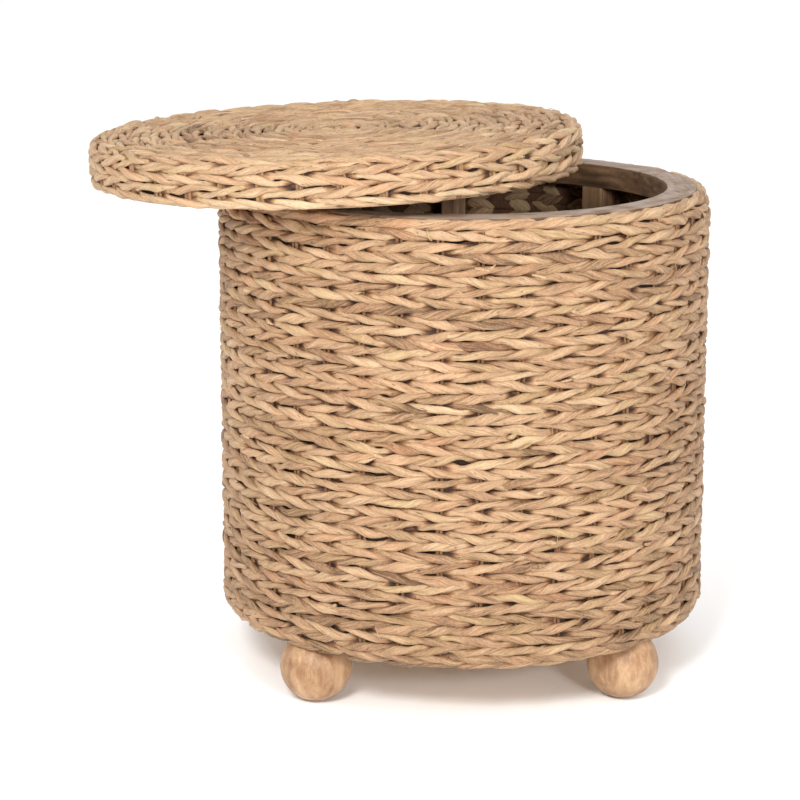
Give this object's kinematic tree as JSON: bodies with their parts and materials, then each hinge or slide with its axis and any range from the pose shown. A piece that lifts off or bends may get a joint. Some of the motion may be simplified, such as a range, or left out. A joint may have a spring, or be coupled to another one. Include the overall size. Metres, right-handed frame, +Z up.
{
  "type": "storage ottoman",
  "caption": "Round woven storage ottoman on ball feet, with a timber frame inside and a loose woven lid that slides or lifts off to open the storage space.",
  "frame": {"origin": "on the floor, under the middle of the footprint, which takes in the lid where it lies slid to one side; the body's own axis is 54 mm towards +X", "axes": "+Z up; -X is the way the lid has been slid; -Y is the side the picture shows"},
  "size_m": [0.5284, 0.42, 0.4724],
  "materials": {
    "woven_strand": "natural twisted water hyacinth, matte to satin",
    "frame_timber": "unfinished sanded softwood",
    "foot_timber": "turned wood with a thin clear coat",
    "plywood": "raw plywood",
    "steel": "zinc-plated screws"
  },
  "bodies": {
    "base": {"woven_wall": "woven_strand", "base_board": "plywood", "top_ring_segment_1": "frame_timber", "top_ring_segment_2": "frame_timber", "top_ring_segment_3": "frame_timber", "top_ring_segment_4": "frame_timber", "top_ring_segment_5": "frame_timber", "top_ring_segment_6": "frame_timber", "top_ring_segment_7": "frame_timber", "top_ring_segment_8": "frame_timber", "bottom_ring_segment_1": "frame_timber", "bottom_ring_segment_2": "frame_timber", "bottom_ring_segment_3": "frame_timber", "bottom_ring_segment_4": "frame_timber", "bottom_ring_segment_5": "frame_timber", "bottom_ring_segment_6": "frame_timber", "bottom_ring_segment_7": "frame_timber", "bottom_ring_segment_8": "frame_timber", "post_1": "frame_timber", "post_2": "frame_timber", "post_3": "frame_timber", "post_4": "frame_timber", "post_5": "frame_timber", "post_6": "frame_timber", "post_7": "frame_timber", "post_8": "frame_timber", "foot_1": "foot_timber", "foot_2": "foot_timber", "foot_3": "foot_timber", "foot_4": "foot_timber", "foot_screw_1": "steel", "foot_screw_2": "steel", "foot_screw_3": "steel", "foot_screw_4": "steel"},
    "lid": {"lid_weave": "woven_strand", "lid_top_board": "plywood", "lid_base_board": "plywood", "lid_rim_segment_1": "frame_timber", "lid_rim_segment_2": "frame_timber", "lid_rim_segment_3": "frame_timber", "lid_rim_segment_4": "frame_timber", "lid_rim_segment_5": "frame_timber", "lid_rim_segment_6": "frame_timber", "lid_rim_segment_7": "frame_timber", "lid_rim_segment_8": "frame_timber", "lid_screw_1": "steel", "lid_screw_2": "steel", "lid_screw_3": "steel", "lid_screw_4": "steel", "lid_screw_5": "steel", "lid_screw_6": "steel", "lid_screw_7": "steel", "lid_screw_8": "steel", "lid_batten_1": "frame_timber", "lid_batten_2": "frame_timber"}
  },
  "joints": [
    {"name": "lid_slide", "type": "hinge", "parent": "base", "child": "lid", "pos_m": [-0.20459, 0, -2.56625], "axis": [0, 1, 0], "range_deg": [-6, 2.07]}
  ]
}
